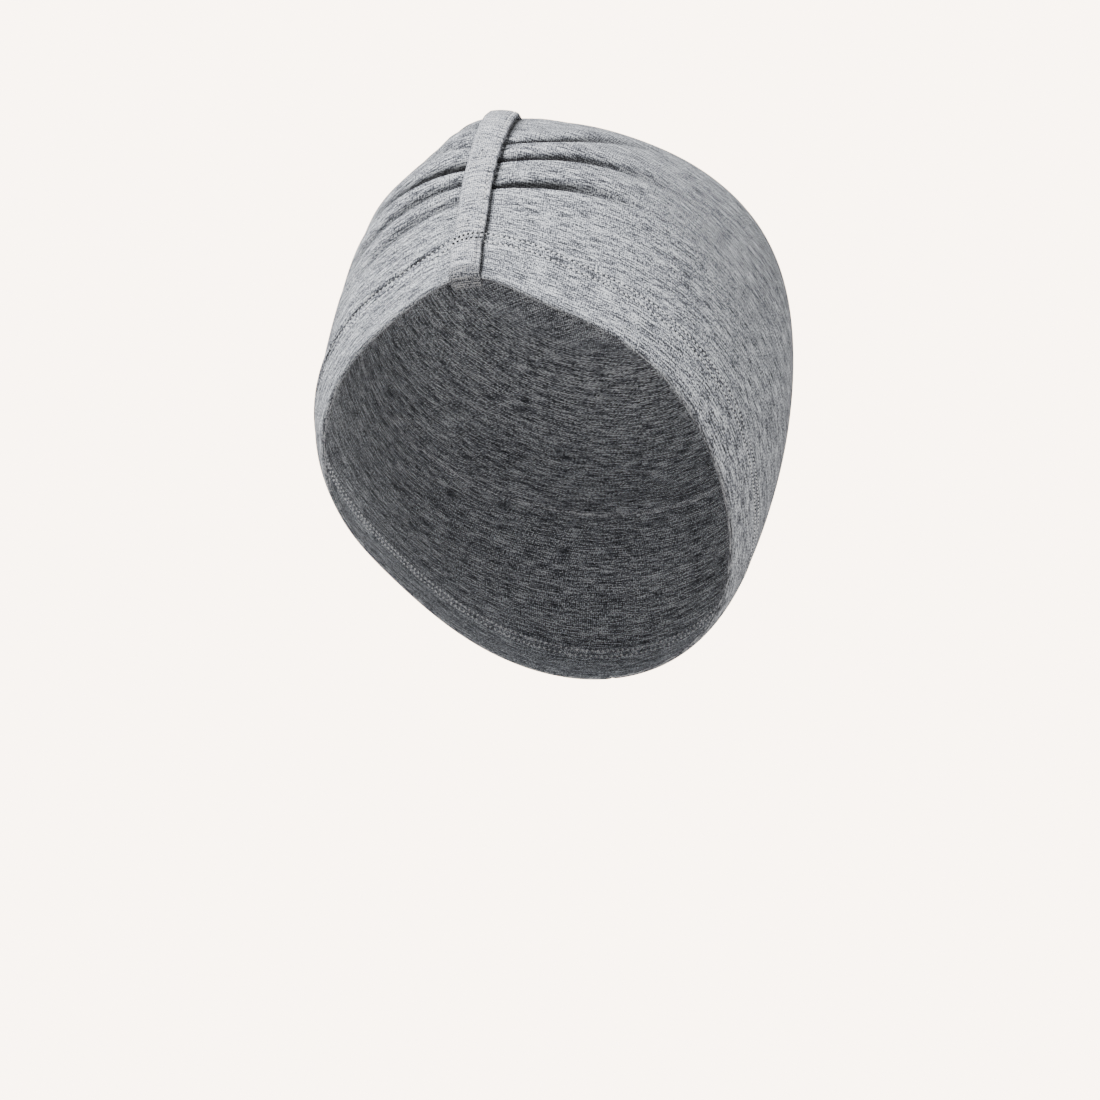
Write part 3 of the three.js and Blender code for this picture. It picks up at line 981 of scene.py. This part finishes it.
def sewn_mesh(name, lines, stitch, slant, pitch, thread, material):
    """Mesh of the stitches along lines, each of which is (points, outward directions, closed)."""
    points, outwards, edges = [], [], []
    for places, facings, closed in lines:
        first = sum(len(p) for p in points)
        count = len(places)
        edges += [(first + i, first + i + 1) for i in range(count - 1)]
        if closed:
            edges.append((first + count - 1, first))
        points.append(places)
        outwards.append(facings)
    guide = bpy.data.meshes.new(name + "_lines")
    guide.from_pydata(np.concatenate(points).tolist(), edges, [])
    facing = guide.attributes.new("outward", "FLOAT_VECTOR", "POINT")
    facing.data.foreach_set("vector", np.concatenate(outwards).ravel())
    holder = bpy.data.objects.new(name + "_lines", guide)
    bpy.context.collection.objects.link(holder)
    modifier = holder.modifiers.new("Stitches", "NODES")
    tree = bpy.data.node_groups.get("Stitches") or stitch_tree()
    modifier.node_group = tree
    values = {
        "Pitch": pitch,
        "Stitch Length": stitch,
        "Thread": thread,
        "Slant": slant,
        "Seed": STITCH_SEED,
        "Material": material,
    }
    for socket in tree.interface.items_tree:
        if socket.item_type == "SOCKET" and socket.in_out == "INPUT" and socket.name in values:
            modifier[socket.identifier] = values[socket.name]
    bpy.context.view_layer.update()
    graph = bpy.context.evaluated_depsgraph_get()
    mesh = bpy.data.meshes.new_from_object(holder.evaluated_get(graph), depsgraph=graph)
    mesh.name = name
    bpy.data.objects.remove(holder)
    bpy.data.meshes.remove(guide)
    if not mesh.polygons:
        raise RuntimeError(f"no stitches were made for {name}")
    mesh.materials.clear()
    mesh.polygons.foreach_set("material_index", np.zeros(len(mesh.polygons), int))
    return mesh


def sewing_line(at, parameters, closed):
    """A line to sew along, from a function of a parameter and an offset outward."""
    sample = 0.1 * MM
    places = at(parameters, 0.0)
    outwards = at(parameters, sample) - places
    return places, outwards / np.linalg.norm(outwards, axis=1, keepdims=True), closed


def hem_line(height, inward, start, sizes, sunk=0.0):
    """Line of stitches round the rim at a height over it, from a distance past the back.

    On the wearer's right, under the bulge, it is sunk deeper into the cloth.
    """
    def at(bearings, out):
        deep = inward + sunk * right_side(bearings)
        return cap_point(bearings, row_turn(bearings, height), deep - out, sizes)
    back = float(reach(math.pi, rim_turn(np.float64(math.pi))))
    bearings = np.linspace(-math.pi, math.pi, HEM_LINE_POINTS + 1)[:-1] + start / back
    return sewing_line(at, bearings, True)


def strap_line(across, along, sizes, raised=0.0):
    """Line of stitches on the strap's outer face, through places across and along it."""
    def at(_, out):
        outer = -sizes.strap_gap - sizes.strap_thickness - strap_relief(across, along, sizes) - raised
        return strap_point(across, along, outer - out)
    return sewing_line(at, across, False)


# ---------------------------------------------------------------------------------------------
# Finishes
# ---------------------------------------------------------------------------------------------

def heather_group():
    """Shader group: tone and height of heather jersey at a place given in metres over the cloth."""
    group = bpy.data.node_groups.new("Heather Jersey", "ShaderNodeTree")
    face = group.interface
    face.new_socket("Place", in_out="INPUT", socket_type="NodeSocketVector")
    face.new_socket("Tone", in_out="OUTPUT", socket_type="NodeSocketFloat")
    face.new_socket("Height", in_out="OUTPUT", socket_type="NodeSocketFloat")
    place = group.nodes.new("NodeGroupInput").outputs["Place"]
    split = added(group, "ShaderNodeSeparateXYZ", {0: place})

    def noise(cells_across, cells_up, detail):
        """Noise with so many cells to the metre across the cloth and up it."""
        cells = {0: place, 1: (cells_across, cells_up, 1)}
        stretched = added(group, "ShaderNodeVectorMath", cells, operation="MULTIPLY")
        inputs = {"Vector": stretched.outputs["Vector"], "Scale": 1.0, "Detail": detail}
        return added(group, "ShaderNodeTexNoise", inputs, noise_dimensions="2D").outputs["Fac"]

    def ribs(axis, spacing):
        """Waves from -1 to 1 along an axis of the cloth."""
        turns = worked_out(group, "MULTIPLY", split.outputs[axis], 2 * math.pi / spacing)
        return worked_out(group, "SINE", turns)

    def mixed(values):
        """Weighted sum of values, moved so that it is a half where all of them are."""
        total = (1 - sum(weight for _, weight in values)) / 2
        for value, weight in values:
            total = worked_out(group, "MULTIPLY_ADD", value, weight, total)
        return total

    streaks = noise(170, 2300, 1.0)
    grains = noise(1500, 2800, 0.0)
    patches = noise(45, 420, 1.0)
    wales = ribs("X", 0.72 * MM)
    courses = ribs("Y", 0.55 * MM)
    added(group, "NodeGroupOutput", {
        "Tone": mixed([(streaks, 1.4), (grains, 1.25), (patches, 0.45), (wales, 0.12)]),
        "Height": mixed([(wales, 0.3), (courses, 0.12), (grains, 0.6), (streaks, 0.7)]),
    })
    return group


# The jersey's surface, the places on the ramp of its darkest, middle and lightest fibres, how light
# the lightest may be, how much of its colour the deepest painted shade takes away, and its bump.
JERSEY_SURFACE = {"Roughness": 0.95, "Specular IOR Level": 0.08, "Sheen Weight": 0.06, "Sheen Roughness": 0.6}
FIBRE_STOPS = (0.12, 0.5, 0.88)
LIGHTEST = 0.9
SHADE_STRENGTH = 0.95
KNIT_BUMP = {"Strength": 0.25, "Distance": 0.25 * MM}


def jersey_material(name, finishes, lightness):
    """Matt heather jersey: light and dark fibres in short streaks, with the ribs of the knit."""
    material = bpy.data.materials.new(name)
    material.use_nodes = True
    tree = material.node_tree
    group = bpy.data.node_groups.get("Heather Jersey") or heather_group()
    found = []
    for map_name in ("Cloth", "Top"):
        place = added(tree, "ShaderNodeUVMap", uv_map=map_name).outputs["UV"]
        found.append(added(tree, "ShaderNodeGroup", {"Place": place}, node_tree=group))
    top = added(tree, "ShaderNodeAttribute", attribute_name="top")

    def blended(output):
        """An output of the group, from the unrolled map below and the map from the top above."""
        inputs = {"Factor": top.outputs["Fac"], "A": found[0].outputs[output], "B": found[1].outputs[output]}
        return added(tree, "ShaderNodeMix", inputs, data_type="FLOAT").outputs["Result"]

    ramp = added(tree, "ShaderNodeValToRGB", {"Fac": blended("Tone")})
    stops = ramp.color_ramp.elements
    stops[0].position = FIBRE_STOPS[0]
    stops[0].color = (*finishes.dark_yarn, 1)
    stops[1].position = FIBRE_STOPS[2]
    stops[1].color = (*(min(LIGHTEST, lightness * tint) for tint in finishes.light_yarn), 1)
    middle = stops.new(FIBRE_STOPS[1])
    middle.color = (*(lightness * tint for tint in finishes.grey_yarn), 1)
    # Painted shade: the attribute darkens the colour where shade falls on the cloth and the strap.
    painted_shade = added(tree, "ShaderNodeAttribute", attribute_name="painted_shade")
    shade = worked_out(tree, "MULTIPLY_ADD", painted_shade.outputs["Fac"], -SHADE_STRENGTH, 1.0)
    darkened = {0: ramp.outputs["Color"], "Scale": shade}
    shaded = added(tree, "ShaderNodeVectorMath", darkened, operation="SCALE")
    bump = added(tree, "ShaderNodeBump", {**KNIT_BUMP, "Height": blended("Height")})
    looks = {**JERSEY_SURFACE, "Base Color": shaded.outputs["Vector"], "Normal": bump.outputs["Normal"]}
    feed(tree, tree.nodes["Principled BSDF"], looks)
    return material


def plain_material(name, tint, roughness):
    """Matt material of one colour."""
    material = bpy.data.materials.new(name)
    material.use_nodes = True
    tree = material.node_tree
    feed(tree, tree.nodes["Principled BSDF"], {"Base Color": (*tint, 1), "Roughness": roughness})
    return material


def finish(name, make, *given):
    """The material of that name, made the first time that it is asked for."""
    return bpy.data.materials.get(name) or make(name, *given)


def jersey():
    """The crown's and the hem's jersey."""
    return finish("heather_jersey", jersey_material, bpy.context.scene.sleep_cap_finishes, 1.0)


def strap_jersey():
    """The strap's jersey."""
    finishes = bpy.context.scene.sleep_cap_finishes
    return finish("heather_strap", jersey_material, finishes, finishes.strap_lightness)


def sewing_thread():
    """The sewing thread."""
    return finish("sewing_thread", plain_material, bpy.context.scene.sleep_cap_finishes.thread, 0.7)


def needle_hole_shade():
    """Near-black beads: painted shade in the holes that the needle leaves between two stitches."""
    tint = [value / 2 for value in bpy.context.scene.sleep_cap_finishes.dark_yarn]
    return finish("needle_hole_shade", plain_material, tint, 1.0)


def sew(name, lines, pitch, slant, sizes):
    """Piece of the stitches along lines."""
    thread = sewing_thread()
    mesh = sewn_mesh(name, lines, sizes.stitch_share * pitch, slant, pitch, sizes.thread, thread)
    piece(name, mesh, thread)


def paint_hole_shade(name, lines, pitch, share, sizes):
    """Piece of beads of painted needle-hole shade along lines, each a share of the pitch long."""
    hole = needle_hole_shade()
    mesh = sewn_mesh(name, lines, share * pitch, 0.0, pitch, sizes.hole_radius, hole)
    piece(name, mesh, hole)


# ---------------------------------------------------------------------------------------------
# Operators
# ---------------------------------------------------------------------------------------------

class BuildCrown(bpy.types.Operator):
    """Build the crown, one ply of jersey gathered beside the strap and rolled under at the rim"""

    bl_idname = "sleep_cap.crown"
    bl_label = "Crown"

    def execute(self, context):
        thing = piece("crown_cloth", crown_mesh(context.scene.sleep_cap_sizes), jersey())
        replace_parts(thing, "crown")
        return {"FINISHED"}


class BuildHem(bpy.types.Operator):
    """Build the hem, the edge of the jersey turned up inside the crown"""

    bl_idname = "sleep_cap.hem"
    bl_label = "Hem"

    def execute(self, context):
        thing = piece("hem_cloth", hem_mesh(context.scene.sleep_cap_sizes), jersey())
        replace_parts(thing, "hem")
        return {"FINISHED"}


class BuildFrontStrap(bpy.types.Operator):
    """Build the strap that runs up the front from under the rim"""

    bl_idname = "sleep_cap.front_strap"
    bl_label = "Front strap"

    def execute(self, context):
        mesh = strap_mesh(context.scene.sleep_cap_sizes)
        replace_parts(piece("strap_cloth", mesh, strap_jersey()), "front_strap")
        return {"FINISHED"}


class SewHem(bpy.types.Operator):
    """Sew the hem with two rows of stitches outside and a slanted cover stitch inside"""

    bl_idname = "sleep_cap.hem_stitches"
    bl_label = "Hem stitches"

    def execute(self, context):
        sizes = context.scene.sleep_cap_sizes
        rows = (sizes.upper_row, sizes.lower_row)
        inner = 2 * sizes.rim_roll + INSIDE_LIFT
        pitch = sizes.stitch_pitch
        lines = [hem_line(row, 0.0, 0.0, sizes, sunk) for row, sunk in zip(rows, STITCH_SINKS)]
        sew("hem_stitches", lines, pitch, 0.0, sizes)
        inner_lines = [hem_line(row, inner, 0.0, sizes) for row in rows]
        sew("hem_stitches_inside", inner_lines, pitch, INSIDE_SLANT, sizes)
        # Near-black beads between the stitches: painted shade in the needle holes.
        holes = [hem_line(row, HOLE_DEPTH, pitch / 2, sizes, sunk) for row, sunk in zip(rows, HOLE_SINKS)]
        paint_hole_shade("hem_needle_hole_shade", holes, pitch, 1 - sizes.stitch_share, sizes)
        return {"FINISHED"}


class SewStrap(bpy.types.Operator):
    """Sew the strap's topstitching and the rows that cross it over the hem"""

    bl_idname = "sleep_cap.strap_stitches"
    bl_label = "Strap stitches"

    def execute(self, context):
        sizes = context.scene.sleep_cap_sizes
        half = sizes.strap_width / 2

        def cross_rows(start, raised):
            over = np.linspace(CROSS_INSET - half + start, half - CROSS_INSET, CROSS_POINTS)
            return [strap_line(over, row + CROSS_SLANT * over, sizes, raised) for row in CROSS_ROWS]

        up = np.arange(TOPSTITCH_START, TOPSTITCH_END, STRAP_STEP)
        topstitching = [strap_line(np.full_like(up, half - sizes.strap_margin), up, sizes)]
        sew("strap_stitches", topstitching, sizes.stitch_pitch, 0.0, sizes)
        crossing = cross_rows(0.0, CROSS_RAISED)
        sew("cross_stitches", crossing, sizes.cross_pitch, 0.0, sizes)
        # Near-black beads between the stitches: painted shade in the needle holes.
        holes = cross_rows(sizes.cross_pitch / 2, SLIT_RAISED)
        paint_hole_shade("cross_needle_hole_shade", holes, sizes.cross_pitch, sizes.slit_share, sizes)
        return {"FINISHED"}


# ---------------------------------------------------------------------------------------------
# The stage
# ---------------------------------------------------------------------------------------------

# The camera: the point it looks at, the azimuth and elevation it looks from, its roll, its distance
# in metres, and its lens and sensor in millimetres.
AIM = Vector((-0.0075, 0.0168, -0.1436))
AZIMUTH = 19.71 * DEGREE
ELEVATION = -13.7 * DEGREE
ROLL = -1.49 * DEGREE
DISTANCE = 1.402
LENS = 133.1
SENSOR = 36

# The softboxes, which face the middle of the cap.
LIT_POINT = Vector((0, 0, -0.09))
SOFTBOXES = (
    # name azimuth elevation (degrees) distance edge (metres) power (watts)
    ("key", -22, 41, 1.6, 0.8, 52),
    ("fill", 66, 12, 1.8, 1.0, 17),
)

# Half the floor's edge, how high it lies, and the strengths of the light from all round and of the
# background that the camera sees.
FLOOR_HALF = 1.5
FLOOR_HEIGHT = -0.75
AMBIENT_STRENGTH = 0.16
BACKGROUND_STRENGTH = 9.0


def direction(azimuth, elevation):
    """Direction from the cap at an azimuth, counted from the front towards +X, and an elevation."""
    level = math.cos(elevation)
    return Vector((math.sin(azimuth) * level, -math.cos(azimuth) * level, math.sin(elevation)))


def lay_floor(tint):
    """The studio floor."""
    mesh = bpy.data.meshes.new("floor")
    signs = ((-1, -1), (1, -1), (1, 1), (-1, 1))
    corners = [(x * FLOOR_HALF, y * FLOOR_HALF, FLOOR_HEIGHT) for x, y in signs]
    mesh.from_pydata(corners, [], [(0, 1, 2, 3)])
    mesh.materials.append(plain_material("floor", tint, 0.9))
    floor = bpy.data.objects.new("floor", mesh)
    bpy.context.collection.objects.link(floor)


def light_softbox(name, azimuth, elevation, distance, edge, power):
    """Square softbox that faces the cap."""
    back = direction(azimuth * DEGREE, elevation * DEGREE)
    lamp = bpy.data.lights.new(name, "AREA")
    lamp.size = edge
    lamp.energy = power
    light = bpy.data.objects.new(name, lamp)
    light.location = LIT_POINT + back * distance
    light.rotation_mode = "QUATERNION"
    light.rotation_quaternion = (-back).to_track_quat("-Z", "Y")
    bpy.context.collection.objects.link(light)


def light_surroundings(tint):
    """World that lights the cap evenly and shows the camera a bright background."""
    world = bpy.data.worlds.new("studio")
    world.use_nodes = True
    bpy.context.scene.world = world
    tree = world.node_tree
    around = tree.nodes["Background"]
    feed(tree, around, {"Color": (1, 1, 1, 1), "Strength": AMBIENT_STRENGTH})
    bright = {"Color": (*tint, 1), "Strength": BACKGROUND_STRENGTH}
    seen = added(tree, "ShaderNodeBackground", bright)
    rays = tree.nodes.new("ShaderNodeLightPath")
    either = {0: rays.outputs["Is Camera Ray"], 1: around.outputs[0], 2: seen.outputs[0]}
    mix = added(tree, "ShaderNodeMixShader", either)
    feed(tree, tree.nodes["World Output"], {"Surface": mix.outputs[0]})


def set_camera():
    """The camera, looking at the cap from its front."""
    back = direction(AZIMUTH, ELEVATION)
    level = Vector((math.cos(AZIMUTH), math.sin(AZIMUTH), 0))
    upright = back.cross(level)
    right = level * math.cos(ROLL) + upright * math.sin(ROLL)
    up = upright * math.cos(ROLL) - level * math.sin(ROLL)
    camera = bpy.data.objects.new("camera", bpy.data.cameras.new("camera"))
    camera.data.lens = LENS
    camera.data.sensor_width = SENSOR
    bpy.context.collection.objects.link(camera)
    turn = Matrix((right, up, back)).transposed().to_4x4()
    camera.matrix_world = Matrix.Translation(AIM + back * DISTANCE) @ turn
    bpy.context.scene.camera = camera


class BuildStage(bpy.types.Operator):
    """Set up the floor, the softboxes, the background and the camera"""

    bl_idname = "sleep_cap.stage"
    bl_label = "Stage"

    def execute(self, context):
        finishes = context.scene.sleep_cap_finishes
        lay_floor(finishes.floor)
        for softbox in SOFTBOXES:
            light_softbox(*softbox)
        light_surroundings(finishes.background)
        set_camera()
        return {"FINISHED"}


class SleepCapPanel(bpy.types.Panel):
    """The cap's sizes, colours and build steps"""

    bl_idname = "VIEW3D_PT_sleep_cap"
    bl_label = "Sleep Cap"
    bl_space_type = "VIEW_3D"
    bl_region_type = "UI"
    bl_category = "Sleep Cap"

    def draw(self, context):
        for holder in (context.scene.sleep_cap_sizes, context.scene.sleep_cap_finishes):
            box = self.layout.box()
            for name in holder.__annotations__:
                box.prop(holder, name)
        for operator in OPERATORS:
            self.layout.operator(operator.bl_idname)


OPERATORS = (BuildCrown, BuildHem, BuildFrontStrap, SewHem, SewStrap, BuildStage)
CLASSES = (SleepCapSizes, SleepCapFinishes, *OPERATORS, SleepCapPanel)


def register():
    """Register the classes and the scene's settings."""
    for cls in CLASSES:
        bpy.utils.register_class(cls)
    bpy.types.Scene.sleep_cap_sizes = bpy.props.PointerProperty(type=SleepCapSizes)
    bpy.types.Scene.sleep_cap_finishes = bpy.props.PointerProperty(type=SleepCapFinishes)


def unregister():
    """Remove the scene's settings and the classes."""
    del bpy.types.Scene.sleep_cap_finishes
    del bpy.types.Scene.sleep_cap_sizes
    for cls in reversed(CLASSES):
        bpy.utils.unregister_class(cls)


def main():
    """Build every piece and the stage."""
    register()
    bpy.ops.sleep_cap.crown()
    bpy.ops.sleep_cap.hem()
    bpy.ops.sleep_cap.front_strap()
    bpy.ops.sleep_cap.hem_stitches()
    bpy.ops.sleep_cap.strap_stitches()
    bpy.ops.sleep_cap.stage()


if __name__ == "__main__":
    main()
